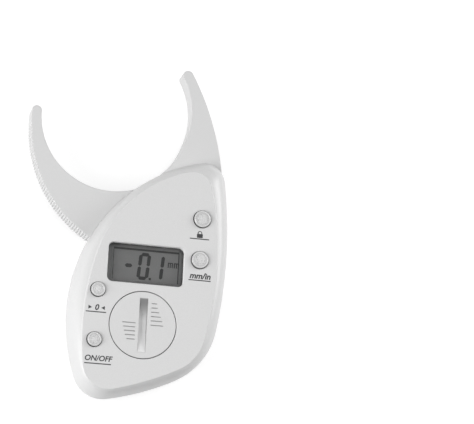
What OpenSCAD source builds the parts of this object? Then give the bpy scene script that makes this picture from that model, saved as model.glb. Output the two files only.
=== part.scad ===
// Digital skinfold caliper, millimetres.
// Frame: origin on the jaw pivot's axis in the flat rear face, +X to the right and +Y
// towards the jaw tips as the display is read, +Z out of the front face.

/* [Housing] */
// Housing thickness, rear face to front face (mm)
body_t = 22; // [20:0.5:26]
// Height of the parting plane, where the outline is widest (mm)
part_z = 10; // [9.5:0.1:10.5]
// Wall thickness (mm)
wall = 2; // [1.6:0.1:2.4]
// Corner discs of the widest outline: x, y, radius (mm)
wide_corners = [[20.96, 23.06, 8.46], [-17.42, -59.46, 12.42], [-0.9, -35.61, 29.81]];
// Radii of the bowed sides between those discs: brow, sole, flank (mm)
wide_sides = [69.7, 106.8, 204.1];
// Corner discs of the flat faces' outline: x, y, radius (mm)
face_corners = [[14.06, 17.05, 7.75], [-11.35, -11.94, 12.81], [-17.65, -59.05, 10.71], [2.7, -42.43, 19.18]];
// Radii of the bowed sides between those discs (mm)
face_sides = [54.5, 118.4, 135.7, 137.8];
// Slope of the shoulder where it leaves the flat face (degrees)
shoulder_slope = 25; // [15:1:35]
// Largest distance between a bowed edge and its facets (mm)
sag = 0.045; // [0.02:0.005:0.1]

/* [Jaws] */
// Rear surface of the jaws above the rear face (mm)
jaw_z = 5.5; // [5:0.1:6]
// Depth of the jaws (mm)
jaw_t = 8; // [7:0.1:8.2]
// Thickness of a jaw's front plate (mm)
jaw_plate = 1.4; // [1:0.1:2]
// Thickness of a jaw's rim (mm)
jaw_rim = 1.3; // [1.2:0.1:1.5]
// Thickness of a jaw's stiffening ribs (mm)
jaw_rib = 1; // [0.8:0.1:1.4]
// Moving jaw's tip: x, y, radius (mm)
moving_tip = [-52.96, 46.79, 2.0];
// Centre of the moving jaw's inner edge (mm)
moving_inner = [-18.76, 46.69];
// Centre of the moving jaw's outer edge (mm)
moving_outer = [0.56, 43.01];
// Fixed jaw's tip: x, y, radius (mm)
fixed_tip = [10.45, 69.1, 2.4];
// Centre of the fixed jaw's inner edge (mm)
fixed_inner = [-23.6, 50.9];
// Centre of the fixed jaw's outer edge (mm)
fixed_outer = [-96.2, 7.8];
// Angle the moving jaw turns until the tips meet (degrees)
closing = 53.5; // [50:0.1:54]
// Radius of the moving jaw's hub (mm)
hub_r = 12.4; // [11.5:0.1:12.6]
// Radius of the pivot pin (mm)
pin_r = 2; // [1.8:0.05:2.2]
// Running clearance between the pin and the hub (mm)
run = 0.05; // [0.02:0.01:0.1]
// Number of thumb grooves on the moving jaw's outer edge
grooves = 46; // [30:1:46]

/* [Controls] */
// Middle of the display window (mm)
window_c = [-4.5, -16.7];
// Width and height of the display window (mm)
window_size = [32, 16.6];
// Thickness of the clear window (mm)
lens_t = 1.5; // [1:0.1:1.6]
// Thickness of the display glass (mm)
glass_t = 2; // [1.6:0.1:2.2]
// Buttons: x, y, cap radius (mm)
buttons = [[18.2, 4.6, 3.6], [18, -12.9, 3.6], [-23.9, -29, 3], [-24.2, -49.8, 3]];
// How far the button caps stand out of the front face (mm)
button_out = 1; // [0.6:0.1:1.4]

/* [Battery] */
// Middle of the battery cover (mm)
cover_c = [-4.5, -42.2];
// Radius of the battery cover (mm)
cover_r = 14; // [13.6:0.1:14.4]
// Radius of the coin cell (mm)
cell_r = 10; // [9.8:0.05:10]
// Thickness of the coin cell (mm)
cell_t = 3.2; // [2.5:0.1:3.2]
// Coin slot: length and width (mm)
coin_slot = [23, 3.5];

/* [Screws] */
// Case screws (mm)
case_screws = [[19, 23.8], [25.8, -6.4], [-24.7, -12], [12.3, -51.5], [-26.3, -55.2]];
// Radius of a case screw's head (mm)
head_r = 1.85; // [1.6:0.05:1.9]
// Circuit board screws (mm)
board_screws = [[15.5, 12.5], [16.5, -30], [-12, -61]];

/* [Hidden] */
T = body_t;
board_t = 1;
inner_z = T - wall;
jaw_top = jaw_z + jaw_t;
hub_z = jaw_z + 2.3;
hub_top = jaw_top - 0.2;
board_z = jaw_top + 0.9;
board_top = board_z + board_t;
lens_z = inner_z - lens_t;
glass_z = lens_z - 0.3 - glass_t;
cell_z = T - 2.6 - cell_t;
// Line that the fixed jaw's blade leaves the housing over.
root_line = [[-4, 18.5], [30, 27]];
clear_r = 17.8;
jaw_cut = 104;
spring_r = 6.3;
boss_r = [3, 2.6, 2.6, 3, 2.1];
head_z = 2.2;
white = [0.9, 0.9, 0.9];
grey = [0.78, 0.78, 0.78];
steel = [0.62, 0.63, 0.65];

function mod360(a) = a - 360 * floor(a / 360);
function ang(v) = atan2(v.y, v.x);
function xy(p) = [p.x, p.y];
// Centre of the large disc that two corner discs touch from inside.
function side_centre(a, b, r) = let (v = xy(b) - xy(a), d = norm(v), p = r - a.z, q = r - b.z,
  x = (p * p - q * q + d * d) / (2 * d), h = sqrt(p * p - x * x), u = v / d)
  [a.x + u.x * x - u.y * h, a.y + u.y * x + u.x * h];
// Arcs of a bowed outline: centre x, centre y, radius, first angle, sweep.
function arcs(c, s) = let (n = len(c), m = [for (i = [0:n - 1]) side_centre(c[i], c[(i + 1) % n], s[i])])
  [for (i = [0:n - 1]) let (a = ang(xy(c[i]) - m[(i + n - 1) % n]), b = ang(xy(c[i]) - m[i]),
    e = ang(xy(c[(i + 1) % n]) - m[i]))
    each [[c[i].x, c[i].y, c[i].z, mod360(a), mod360(b - a)], [m[i].x, m[i].y, s[i], mod360(b), mod360(e - b)]]];
wide = arcs(wide_corners, wide_sides);
face = arcs(face_corners, face_sides);
function arc_at(o, a) = [for (k = o) if (mod360(a - k[3] + 0.0001) <= k[4] + 0.0002) k][0];
function rim(o, a, inset) = let (k = arc_at(o, a)) [k[0], k[1]] + (k[2] - inset) * [cos(a), sin(a)];
function sorted(v) = len(v) < 2 ? v : let (p = v[0], w = [for (i = [1:len(v) - 1]) v[i]])
  concat(sorted([for (x = w) if (x < p) x]), [p], sorted([for (x = w) if (x >= p) x]));
breaks = sorted([for (k = concat(wide, face)) k[3]]);
// Directions in which both outlines get a point.
turns = [for (i = [0:len(breaks) - 1]) let (a = breaks[i], w = mod360(breaks[(i + 1) % len(breaks)] - a),
  r = max(arc_at(wide, a + w / 2)[2], arc_at(face, a + w / 2)[2]), n = ceil(w / (2 * acos(1 - sag / r))))
  if (w > 0.001) for (k = [0:n - 1]) a + w * k / n];
function ring(s, inset) = [for (a = turns) (1 - s) * rim(face, a, inset) + s * rim(wide, a, inset)];

// Solid with the flat face's outline at z_face and the widest outline at z_wide; depth is
// how far it carries on past z_wide.
module pebble(z_face, z_wide, inset, depth, steps) {
  s0 = sin(shoulder_slope);
  c0 = cos(shoulder_slope);
  n = len(turns);
  t = [for (k = [0:steps]) shoulder_slope + (90 - shoulder_slope) * k / steps];
  s = concat([for (a = t) (sin(a) - s0) / (1 - s0)], depth > 0 ? [1] : []);
  z = concat([for (a = t) z_face + (z_wide - z_face) * (c0 - cos(a)) / c0], depth > 0 ? [z_wide + sign(z_wide - z_face) * depth] : []);
  m = len(s);
  pts = [for (j = [0:m - 1]) each [for (p = ring(s[j], inset)) [p.x, p.y, z[j]]]];
  up = z_face > z_wide;
  quads = [for (j = [0:m - 2], i = [0:n - 1]) let (k = (i + 1) % n) up ? [j * n + i, j * n + k, (j + 1) * n + k, (j + 1) * n + i]
    : [j * n + k, j * n + i, (j + 1) * n + i, (j + 1) * n + k]];
  cap0 = [for (i = [0:n - 1]) up ? n - 1 - i : i];
  cap1 = [for (i = [0:n - 1]) (m - 1) * n + (up ? i : n - 1 - i)];
  polyhedron(points = pts, faces = concat(quads, [cap0, cap1]), convexity = 4);
}
module rod(p, r, z0, z1, n = 48) translate([p.x, p.y, z0]) cylinder(r = r, h = z1 - z0, $fn = n);
module tube(p, r0, r1, z0, z1, n = 48) difference() {
  rod(p, r1, z0, z1, n);
  rod(p, r0, z0 - 1, z1 + 1, n);
}
module slab(c, size, r, z0, z1) translate([c.x, c.y, z0]) linear_extrude(z1 - z0) {
  square([size.x - 2 * r, size.y], center = true);
  square([size.x, size.y - 2 * r], center = true);
  for (x = [-1, 1], y = [-1, 1]) translate([x * (size.x / 2 - r), y * (size.y / 2 - r)]) circle(r, $fn = 32);
}
module spoke(a, b, w, z0, z1) let (v = b - a) translate([a.x, a.y, z0]) rotate([0, 0, ang(v)]) translate([0, -w / 2, 0]) cube([norm(v), w, z1 - z0]);

// Sector of the plane seen from the pivot, between two angles.
module sector(a0, a1, r, z0, z1) translate([0, 0, z0]) linear_extrude(z1 - z0)
  polygon(concat([[0, 0]], [for (a = [a0:(a1 - a0) / 6:a1 + 0.01]) r * [cos(a), sin(a)]]));

// One jaw's blade between its two edges, shrunk by inset all round.
module blade(tip, inner, outer, far, z0, z1, inset) {
  t = xy(tip);
  ui = (t - inner) / norm(t - inner);
  uo = (t - outer) / norm(t - outer);
  ri = norm(t - inner) - tip.z;
  ro = norm(t - outer) + tip.z;
  intersection() {
    translate([0, 0, z0]) linear_extrude(z1 - z0) polygon(concat([t - 30 * ui, t, t + 30 * uo], far));
    difference() {
      rod(outer, ro - inset, z0, z1, 360);
      rod(inner, ri + inset, z0 - 1, z1 + 1, 240);
    }
  }
  rod(t, tip.z - inset, z0, z1, 32);
}
module moving_blade(z0, z1, inset) blade(moving_tip, moving_inner, moving_outer, [[-83, -40], [20, -40], [20, 46]], z0, z1, inset);
module fixed_blade(z0, z1, inset) blade(fixed_tip, fixed_inner, fixed_outer, [[60, -20], [-16, -20]], z0, z1, inset);

moving_ri = norm(xy(moving_tip) - moving_inner) - moving_tip.z;
moving_ro = norm(xy(moving_tip) - moving_outer) + moving_tip.z;
// Centre of the moving jaw's inner edge when the jaws are closed.
closed_inner = let (a = ang(moving_inner) - closing) norm(moving_inner) * [cos(a), sin(a)];

// Space that the jaws need in the housing's side.
module jaw_slot() {
  intersection() {
    rod(moving_outer, moving_ro + 0.15, jaw_z - 0.2, jaw_top + 0.2, 360);
    sector(84, 250, 90, jaw_z - 0.3, jaw_top + 0.3);
  }
  intersection() {
    fixed_blade(jaw_z - 0.2, jaw_top + 0.2, -0.1);
    translate([0, 0, jaw_z - 0.3]) linear_extrude(jaw_t + 0.6) polygon(concat(root_line - [[0, 0.2], [0, 0.2]], [[40, 80], [-20, 80]]));
  }
}

module front_shell() color(white) difference() {
  union() {
    difference() {
      pebble(T, part_z, 0, 0, 7);
      pebble(inner_z, part_z, wall, 1, 6);
    }
    intersection() {
      pebble(T, part_z, 0.6, 0, 7);
      union() {
        for (i = [1:4]) rod(case_screws[i], boss_r[i], part_z, inner_z + 0.5);
        rod(case_screws[0], boss_r[0], jaw_top, inner_z + 0.5);
        rod([0, 0], 3.6, board_top + 0.4, inner_z + 0.5);
        for (p = board_screws) rod(p, 2.2, board_top, inner_z + 0.5);
        rod(cover_c, cover_r + 2, T - 3, inner_z + 0.5, 96);
      }
    }
  }
  for (p = case_screws) rod(p, 0.8, part_z - 1, T - 4);
  rod([0, 0], pin_r, board_z, T - 3);
  for (p = board_screws) rod(p, 0.6, board_z, T - 3.4, 24);
  slab(window_c, window_size, 2.3, inner_z - 1, T + 1);
  slab(window_c, window_size + [3, 2.8], 0.8, board_top - 1, lens_z);
  for (b = buttons) {
    rod(b, b.z + 0.15, inner_z - 1, T + 1);
    rod(b, b.z + (b.z > 3.3 ? 0.85 : 0.65), inner_z - 3, inner_z - 0.1);
  }
  rod(cover_c, cover_r + 0.15, T - 1.8, T + 1, 96);
  rod(cover_c, cell_r + 2.9, T - 5, T, 96);
  for (a = [40, 220]) translate([cover_c.x, cover_c.y, T - 4]) rotate([0, 0, a]) translate([cell_r, -3.4, 0]) cube([4.1, 6.8, 2.3]);
  jaw_slot();
}

module rear_shell() color(white) difference() {
  union() {
    difference() {
      pebble(0, part_z, 0, 0, 7);
      pebble(wall, part_z, wall, 1, 6);
    }
    intersection() {
      pebble(0, part_z, 0.6, 0, 7);
      union() {
        for (i = [1:4]) rod(case_screws[i], max(boss_r[i], head_r + 0.9), wall - 0.5, part_z);
        rod(case_screws[0], boss_r[0], wall - 0.5, jaw_z);
        rod([0, 0], 5, wall - 0.5, jaw_z);
      }
    }
  }
  for (p = case_screws) {
    rod(p, 1.15, -1, part_z + 1);
    rod(p, head_r + 0.2, -1, head_z);
  }
  rod([0, 0], pin_r, 1, jaw_z + 1);
  jaw_slot();
}

module fixed_jaw() color(grey) difference() {
  union() {
    difference() {
      // Blade, held back from the moving jaw's path and from the walls.
      intersection() {
        fixed_blade(jaw_z, jaw_top, 0);
        rod(closed_inner, moving_ri - 0.4, jaw_z - 1, jaw_top + 1, 240);
        union() {
          translate([0, 0, jaw_z - 1]) linear_extrude(jaw_t + 2) polygon(concat(root_line, [[40, 80], [-20, 80]]));
          translate([0, 0, jaw_z - 1]) linear_extrude(jaw_t + 2) intersection() {
            polygon(ring(0.7, wall + 0.25));
            polygon([[-4, 15.5], [40, 15.5], [40, 30], [-4, 30]]);
          }
        }
      }
      // Cells, open at the rear.
      difference() {
        intersection() {
          fixed_blade(jaw_z - 1, jaw_top - jaw_plate, jaw_rim);
          rod(closed_inner, moving_ri - 0.4 - jaw_rim, jaw_z - 2, jaw_top + 1, 240);
          translate([0, 0, jaw_z - 1]) linear_extrude(jaw_t) polygon([[-4, 26.5], [40, 26.5], [40, 65.2], [-20, 65.2]]);
        }
        spoke([18.4, 57.6], [16.6, 26], jaw_rib, jaw_z, jaw_top);
        spoke([4, 36.9], [30, 36.9], jaw_rib, jaw_z, jaw_top);
        spoke([8, 49.7], [17.9, 49.7], jaw_rib, jaw_z, jaw_top);
        spoke([8, 59.2], [24, 58.4], jaw_rib, jaw_z + 2.5, jaw_top);
      }
    }
    // Plate under the hub, and the boss for the top case screw.
    intersection() {
      hull() {
        rod([0, 0], 7.6, jaw_z, jaw_z + 2, 64);
        rod(case_screws[0], 4, jaw_z, jaw_z + 2, 64);
        rod([15, 8], 5, jaw_z, jaw_z + 2, 64);
      }
      union() {
        rod([0, 0], clear_r - 0.5, jaw_z - 1, jaw_z + 3, 96);
        sector(-40, jaw_cut - closing - 1.5, 40, jaw_z - 1, jaw_z + 3);
        rod(closed_inner, moving_ri - 0.4, jaw_z - 1, jaw_z + 3, 240);
      }
    }
    rod(case_screws[0], 3.2, jaw_z, jaw_top);
    rod(fixed_tip, fixed_tip.z, jaw_z, jaw_top, 64);
  }
  rod([0, 0], pin_r, jaw_z - 1, jaw_z + 3);
  rod(case_screws[0], 1.15, jaw_z - 1, jaw_top + 1);
  rod(fixed_tip, 0.85, jaw_z - 1, jaw_z + 5, 24);
  rod([spring_r, 0], 0.6, jaw_z - 1, jaw_z + 3, 24);
}

module moving_jaw() color(grey) difference() {
  union() {
    difference() {
      intersection() {
        moving_blade(jaw_z, jaw_top, 0);
        difference() {
          sector(jaw_cut, 250, 110, jaw_z - 1, jaw_top + 1);
          rod([0, 0], clear_r, jaw_z - 2, hub_z, 96);
        }
      }
      difference() {
        intersection() {
          moving_blade(jaw_z - 1, jaw_top - jaw_plate, jaw_rim);
          difference() {
            sector(jaw_cut, 250, 110, jaw_z - 1, jaw_top + 1);
            rod([0, 0], clear_r + jaw_rim, jaw_z - 2, jaw_top + 2, 96);
          }
        }
        tube([-20.2, 38.7], 33.4 - jaw_rib / 2, 33.4 + jaw_rib / 2, jaw_z, jaw_top, 240);
        spoke([-27, 18], [-34.2, -4], jaw_rib, jaw_z, jaw_top);
        spoke([-40, 26], [-49.2, 7], jaw_rib, jaw_z, jaw_top);
        spoke([-58, 42.2], [-46, 42.4], 1.5, jaw_z, jaw_top);
        rod([-52.4, 36.8], 1.25, jaw_z, jaw_top, 32);
      }
      for (i = [0:grooves - 1]) let (a = 182 + i * 57 / 45) rod(moving_outer + (moving_ro + 0.12) * [cos(a), sin(a)], 0.38, jaw_z - 1, jaw_top + 1, 16);
    }
    rod([0, 0], hub_r, hub_z, hub_top, 96);
  }
  rod([0, 0], hub_r, hub_top, jaw_top + 1, 96);
  rod([0, 0], pin_r + run, hub_z - 1, jaw_top + 1);
  tube([0, 0], spring_r - 1.7, spring_r + 1.7, hub_z - 1, hub_z + 4.4, 64);
  rod([-spring_r, 0], 0.6, hub_z, hub_top + 1, 24);
}

module pivot_pin() color(steel) rod([0, 0], pin_r, 1, T - 3);
module pivot_washer() color([0.93, 0.91, 0.85]) tube([0, 0], pin_r + run, 4.4, jaw_z + 2, hub_z);
module hub_spacer() color([0.93, 0.91, 0.85]) tube([0, 0], pin_r, 3.2, hub_top + 0.05, board_top + 0.4);

// Wire along a path, eight-sided.
function unit(v) = v / norm(v);
module wire(path, r) {
  n = len(path);
  tan = [for (i = [0:n - 1]) unit(path[min(i + 1, n - 1)] - path[max(i - 1, 0)])];
  out = [for (i = [0:n - 1]) unit([path[i].x, path[i].y, 0])];
  pts = [for (i = [0:n - 1]) let (b = unit(cross(tan[i], out[i])), c = cross(b, tan[i]))
    each [for (k = [0:7]) path[i] + r * (cos(45 * k) * c + sin(45 * k) * b)]];
  polyhedron(points = pts, faces = concat([[for (k = [7:-1:0]) k]], [for (i = [0:n - 2], k = [0:7]) let (m = (k + 1) % 8)
    [i * 8 + k, i * 8 + m, (i + 1) * 8 + m, (i + 1) * 8 + k]], [[for (k = [0:7]) (n - 1) * 8 + k]]), convexity = 6);
}
module return_spring() color(steel) wire(concat([[spring_r, 0, jaw_z + 0.3], [spring_r, 0, hub_z + 0.1]],
  [for (i = [0:60]) let (a = 8 + (1260 - 16) * i / 60) [spring_r * cos(a), spring_r * sin(a), hub_z + 0.75 + 3.1 * i / 60]],
  [[-spring_r, 0, hub_z + 4.3], [-spring_r, 0, hub_top - 0.3]]), 0.4);

module encoder_rotor() color([0.75, 0.6, 0.3]) tube([0, 0], 4.2, hub_r - 1, hub_top, hub_top + 0.7, 96);
module encoder_stator() color([0.75, 0.5, 0.3]) tube([0, 0], 4.4, hub_r - 1, board_z - 0.1, board_z, 96);
module circuit_board() color([0.1, 0.35, 0.2]) difference() {
  translate([0, 0, board_z]) linear_extrude(board_t) polygon(ring(0, 3.2));
  rod([0, 0], 3.5, board_z - 1, board_z + 2);
  for (i = [3, 4]) rod(case_screws[i], boss_r[i] + 0.3, board_z - 1, board_z + 2);
  for (p = board_screws) rod(p, 0.9, board_z - 1, board_z + 2, 24);
}
module controller_chip() color([0.08, 0.08, 0.08]) translate([window_c.x + window_size.x / 2 + 5.5, window_c.y - 5.1, board_top]) rotate_extrude($fn = 48)
  polygon([[0, 0], [3.2, 0], [3, 0.4], [2.2, 0.75], [1, 0.9], [0, 0.9]]);
module lcd_glass() color([0.45, 0.47, 0.46]) slab(window_c, window_size + [1.2, 1], 0.5, glass_z, glass_z + glass_t);
module lcd_frame() color([0.25, 0.25, 0.25]) difference() {
  slab(window_c, window_size + [2.8, 2.6], 0.8, board_top, lens_z - 0.1);
  slab(window_c, window_size + [1.2, 1], 0.5, board_z, T);
}
module lcd_connector() color([0.9, 0.5, 0.6]) for (y = [-1, 1])
  translate([window_c.x - window_size.x / 2 + 1, window_c.y + y * (window_size.y / 2 - 0.9) - 0.9, board_top]) cube([window_size.x - 2, 1.8, glass_z - board_top]);
module window_lens() color([0.9, 0.93, 0.95, 0.4]) slab(window_c, window_size + [2.2, 2.2], 1.6, lens_z, inner_z);

// Cap with a rounded edge, a ring groove and a shallow dome; lip below the wall; stem.
module button(b) let (r = b.z, f = r + (r > 3.3 ? 0.7 : 0.5), z = inner_z, t = T + button_out) color(white)
  translate([b.x, b.y, 0]) rotate_extrude($fn = 64) polygon([[0, board_z + 2.2], [1.2, board_z + 2.2], [1.2, z - 1.1], [f, z - 1.1],
    [f, z - 0.15], [r, z - 0.15], [r, t - 0.55], [r - 0.08, t - 0.3], [r - 0.28, t - 0.1], [r - 0.5, t - 0.04], [r - 0.72, t - 0.12],
    [r - 0.85, t - 0.3], [r - 1, t - 0.3], [r - 1.12, t - 0.16], [r * 0.4, t - 0.04], [0, t]]);
module plunger(b) color([0.1, 0.1, 0.1]) rod(b, 1.2, board_z + 1.55, board_z + 2.2, 32);
module switch(b) color(steel) difference() {
  translate([b.x - 2.6, b.y - 2.6, board_top]) cube([5.2, 5.2, 1]);
  rod(b, 1.3, board_top + 0.2, board_z + 4, 32);
}

module battery_cell() color(steel) union() {
  rod(cover_c, cell_r - 1, cell_z, cell_z + 0.3, 96);
  rod(cover_c, cell_r, cell_z + 0.3, cell_z + cell_t, 96);
}
module battery_holder() color([0.15, 0.15, 0.16]) difference() {
  tube(cover_c, cell_r + 0.15, cell_r + 1.3, board_top, cell_z + 2.2, 96);
  for (a = [0, 180]) translate([cover_c.x, cover_c.y, board_z]) rotate([0, 0, a]) translate([cell_r - 1, -2.1, 0]) cube([4, 4.2, 9]);
}
module contact_plus() color([0.8, 0.72, 0.5]) {
  translate([cover_c.x + cell_r + 0.05, cover_c.y - 1.8, board_top]) cube([0.3, 3.6, cell_z - board_top + 2.4]);
  translate([cover_c.x + cell_r + 0.05, cover_c.y - 1.8, board_top]) cube([3.2, 3.6, 0.3]);
}
module contact_minus() color([0.8, 0.72, 0.5]) {
  translate([cover_c.x - 7, cover_c.y - 2.5, board_top]) cube([14, 5, 0.3]);
  for (x = [-5, 3.8]) translate([cover_c.x + x, cover_c.y - 1.5, board_top + 0.2]) cube([1.2, 3, cell_z - board_top - 0.2]);
}
grip = [[3.2, 9.2, 2.3], [3.2, 7.4, 2.7], [3.2, 5.6, 3.3], [3.2, 3.8, 4.1], [3.2, 2, 4.9], [3.2, 0.2, 5.3],
  [-8.6, 0.6, 5.6], [-8.1, -1.1, 5.1], [-7.7, -2.8, 4.7], [-7.2, -4.5, 4.2], [-6.4, -6.2, 3.4]];
module battery_cover() color(white) difference() {
  union() {
    rod(cover_c, cover_r, T - 1.8, T, 96);
    rod(cover_c, cell_r + 2.7, T - 4.8, T - 1.8, 96);
    for (a = [0, 180]) intersection() {
      translate([cover_c.x, cover_c.y, T - 4.4]) rotate([0, 0, a]) translate([cell_r + 2, -2.8, 0]) cube([4, 5.6, 1.2]);
      rod(cover_c, cell_r + 3.8, T - 5, T - 3, 96);
    }
  }
  rod(cover_c, cell_r + 1.6, T - 6, T - 2.4, 96);
  let (r = (coin_slot.x * coin_slot.x / 4 + 2.56) / 3.2) translate([cover_c.x - coin_slot.y / 2, cover_c.y, T - 1.6 + r]) rotate([0, 90, 0])
    cylinder(r = r, h = coin_slot.y, $fn = 180);
  for (g = grip) translate([cover_c.x + g.x, cover_c.y + g.y - 0.2, T - 0.3]) cube([g.z, 0.4, 1]);
}

module case_screw(i) let (p = case_screws[i]) color(steel) difference() {
  union() {
    rod(p, head_r, head_z - 1.3, head_z, 48);
    rod(p, 0.8, head_z, T - 5, 24);
  }
  for (a = [45, 135]) translate([p.x, p.y, head_z - 1.4]) rotate([0, 0, a]) translate([-1.1, -0.22, 0]) cube([2.2, 0.44, 0.9]);
}
module board_screw(i) let (p = board_screws[i]) color(steel) {
  rod(p, 1.6, board_z - 0.9, board_z, 32);
  rod(p, 0.6, board_z, T - 4.4, 24);
}

front_shell();
rear_shell();
fixed_jaw();
moving_jaw();
pivot_pin();
pivot_washer();
hub_spacer();
return_spring();
encoder_rotor();
encoder_stator();
circuit_board();
controller_chip();
lcd_glass();
lcd_frame();
lcd_connector();
window_lens();
button(buttons[0]);  // button_hold
button(buttons[1]);  // button_units
button(buttons[2]);  // button_zero
button(buttons[3]);  // button_power
plunger(buttons[0]);  // plunger_hold
plunger(buttons[1]);  // plunger_units
plunger(buttons[2]);  // plunger_zero
plunger(buttons[3]);  // plunger_power
switch(buttons[0]);  // switch_hold
switch(buttons[1]);  // switch_units
switch(buttons[2]);  // switch_zero
switch(buttons[3]);  // switch_power
battery_cell();
battery_holder();
contact_plus();
contact_minus();
battery_cover();
case_screw(0);  // case_screw_top
case_screw(1);  // case_screw_flank
case_screw(2);  // case_screw_brow
case_screw(3);  // case_screw_hip
case_screw(4);  // case_screw_heel
board_screw(0);  // board_screw_top
board_screw(1);  // board_screw_hip
board_screw(2);  // board_screw_heel
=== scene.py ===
import math

import bmesh
import bpy
from mathutils import Matrix, Vector, noise


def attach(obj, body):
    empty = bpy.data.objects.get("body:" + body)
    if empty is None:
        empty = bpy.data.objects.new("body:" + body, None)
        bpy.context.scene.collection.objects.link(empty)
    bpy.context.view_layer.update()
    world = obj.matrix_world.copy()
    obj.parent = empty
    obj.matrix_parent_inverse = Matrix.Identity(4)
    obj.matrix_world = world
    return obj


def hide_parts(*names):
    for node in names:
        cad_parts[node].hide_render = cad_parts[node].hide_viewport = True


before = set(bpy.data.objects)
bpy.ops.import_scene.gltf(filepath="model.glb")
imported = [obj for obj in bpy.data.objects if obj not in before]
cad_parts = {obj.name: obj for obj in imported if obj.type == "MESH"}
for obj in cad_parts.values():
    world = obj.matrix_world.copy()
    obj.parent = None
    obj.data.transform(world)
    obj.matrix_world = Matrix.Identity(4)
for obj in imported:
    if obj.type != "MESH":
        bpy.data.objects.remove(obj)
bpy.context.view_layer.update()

# Studio: a white table under soft lamps, with the camera held above the display, a little to
# the reader's left and below the middle. The table glows only for the eye, so the object gets
# no light from its whiteness, and it still shows the object's soft shadow.
def placed(name, data):
    """A new object in the scene."""
    made = bpy.data.objects.new(name, data)
    bpy.context.scene.collection.objects.link(made)
    return made


eye = Vector((-0.14991281, -0.19423447, 0.82701531))
eye_right = Vector((0.97176037, 0.04407903, 0.23181637))
eye_up = Vector((-0.0972181, 0.96993491, 0.22310293))
camera = placed("camera", bpy.data.cameras.new("camera"))
camera.matrix_world = Matrix.Translation(eye) @ Matrix(
    (eye_right, eye_up, eye_right.cross(eye_up))).transposed().to_4x4()
camera.data.lens, camera.data.sensor_width = 153.8, 36
camera.data.clip_start, camera.data.clip_end = 0.05, 30
bpy.context.scene.camera = camera
bpy.context.scene.view_settings.view_transform = "Standard"


def add_node(tree, kind, values=None, **settings):
    """A shader node with its settings; values go to its inputs, as a plain value or a link."""
    node = tree.nodes.new(kind)
    for key, value in settings.items():
        setattr(node, key, value)
    for socket, value in (values or {}).items():
        if isinstance(value, bpy.types.NodeSocket):
            tree.links.new(value, node.inputs[socket])
        else:
            node.inputs[socket].default_value = value
    return node


def maths(tree, operation, *values):
    """The result of a maths node; each value is a plain number or a link."""
    return add_node(tree, "ShaderNodeMath", dict(enumerate(values)), operation=operation).outputs[0]


def seen_mask(tree):
    """1 for the rays that show the background: straight, mirrored or through glass."""
    path = add_node(tree, "ShaderNodeLightPath")
    seen = maths(tree, "MAXIMUM", path.outputs["Is Camera Ray"], path.outputs["Is Glossy Ray"])
    return maths(tree, "MAXIMUM", seen, path.outputs["Is Transmission Ray"])


table_finish = bpy.data.materials.new("white_table")
table_finish.use_nodes = True
tree = table_finish.node_tree
paint = tree.nodes["Principled BSDF"]
paint.inputs["Base Color"].default_value = (0.45, 0.45, 0.45, 1)
paint.inputs["Roughness"].default_value = 0.9
paint.inputs["Specular IOR Level"].default_value = 0
glow = add_node(tree, "ShaderNodeEmission",
    {"Color": (1, 1, 1, 1), "Strength": maths(tree, "MULTIPLY", seen_mask(tree), 0.7)})
both = add_node(tree, "ShaderNodeAddShader", {0: paint.outputs[0], 1: glow.outputs[0]})
tree.links.new(both.outputs[0], tree.nodes["Material Output"].inputs["Surface"])
table_mesh = bpy.data.meshes.new("table")
table_mesh.from_pydata(
    [(x, y, -0.00003) for x, y in ((-9, -9), (9, -9), (9, 9), (-9, 9))], [], [(0, 1, 2, 3)])
table_mesh.materials.append(table_finish)
placed("table", table_mesh)

room = bpy.data.worlds.new("room")
room.use_nodes = True
tree = room.node_tree
air = tree.nodes["Background"]
air.inputs["Color"].default_value = (1, 1, 1, 1)
path = add_node(tree, "ShaderNodeLightPath")
through = maths(tree, "MAXIMUM", path.outputs["Is Camera Ray"], path.outputs["Is Transmission Ray"])
tree.links.new(add_node(tree, "ShaderNodeMapRange",
    {"Value": through, "To Min": 0.32, "To Max": 1.0}).outputs[0], air.inputs["Strength"])
bpy.context.scene.world = room

for lamp_name, place, size, watts in (
    ("lamp_left", (-0.85, -0.25, 0.42), 0.7, 8.5),
    ("lamp_right", (0.94, 0.34, 0.36), 0.6, 6.4),
    ("lamp_over", (0.15, 0.1, 1.1), 0.8, 1.9),
):
    lamp = placed(lamp_name, bpy.data.lights.new(lamp_name, "AREA"))
    lamp.data.size, lamp.data.energy = size, watts
    lamp.location = place
    lamp.rotation_euler = (Vector((0, -0.01, 0.01)) - Vector(place)).to_track_quat("-Z", "Y").to_euler()

# Rear half of the housing: an injection-moulded shell of silver-white plastic with a flat face
# and a round shoulder. Five screws draw it to the front half, from sunk holes in its face.
BODY_DEPTH, PARTING, WALL = 22, 10, 2
JAW_BASE, JAW_TOP = 5.5, 13.5
CASE_SCREWS = ((19, 23.8), (25.8, -6.4), (-24.7, -12), (12.3, -51.5), (-26.3, -55.2))
WINDOW, WINDOW_SIZE = (-4.5, -16.7), (32, 16.6)


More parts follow.
